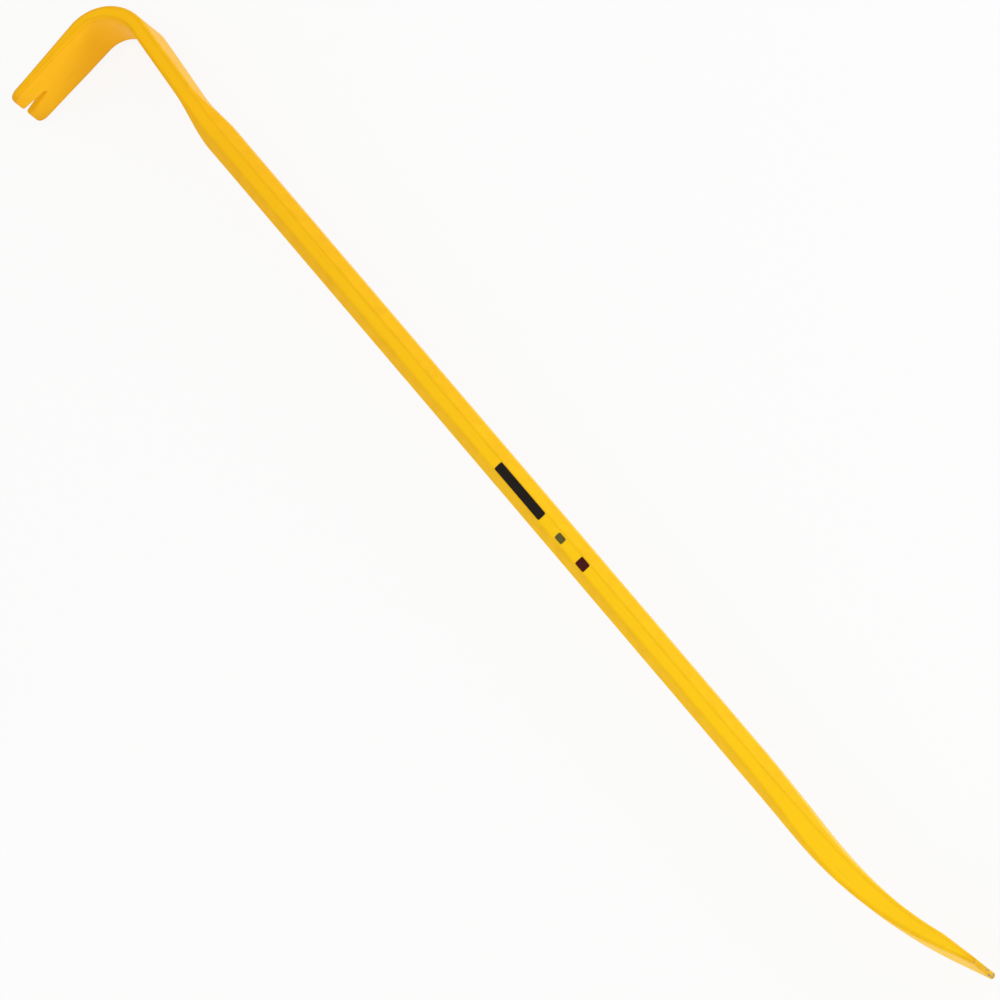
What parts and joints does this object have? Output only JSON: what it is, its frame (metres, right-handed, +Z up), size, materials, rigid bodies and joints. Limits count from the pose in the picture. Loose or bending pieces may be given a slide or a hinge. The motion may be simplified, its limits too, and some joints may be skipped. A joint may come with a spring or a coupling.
{
  "type": "gooseneck wrecking bar",
  "caption": "Yellow enamelled steel wrecking bar of octagonal stock, with a hooked claw slotted for nails at one end, a leaning chisel at the other and blank labels on its shank.",
  "frame": {"origin": "middle of the bar's footprint, on the surface it lies on", "axes": "+X along the shank towards the chisel, +Y the side the chisel leans to, with the claw turned to -Y, and +Z up along the axis of both bends"},
  "size_m": [0.914, 0.1064, 0.0414],
  "materials": {
    "yellow_enamel": "gloss yellow enamel over forged steel",
    "black_vinyl": "plain black vinyl label",
    "grey_vinyl": "plain olive grey vinyl label",
    "red_vinyl": "plain dark red vinyl label"
  },
  "bodies": {
    "root": {"forged_bar": "yellow_enamel", "name_strip_label": "black_vinyl", "grey_label": "grey_vinyl", "red_label": "red_vinyl"}
  },
  "joints": []
}
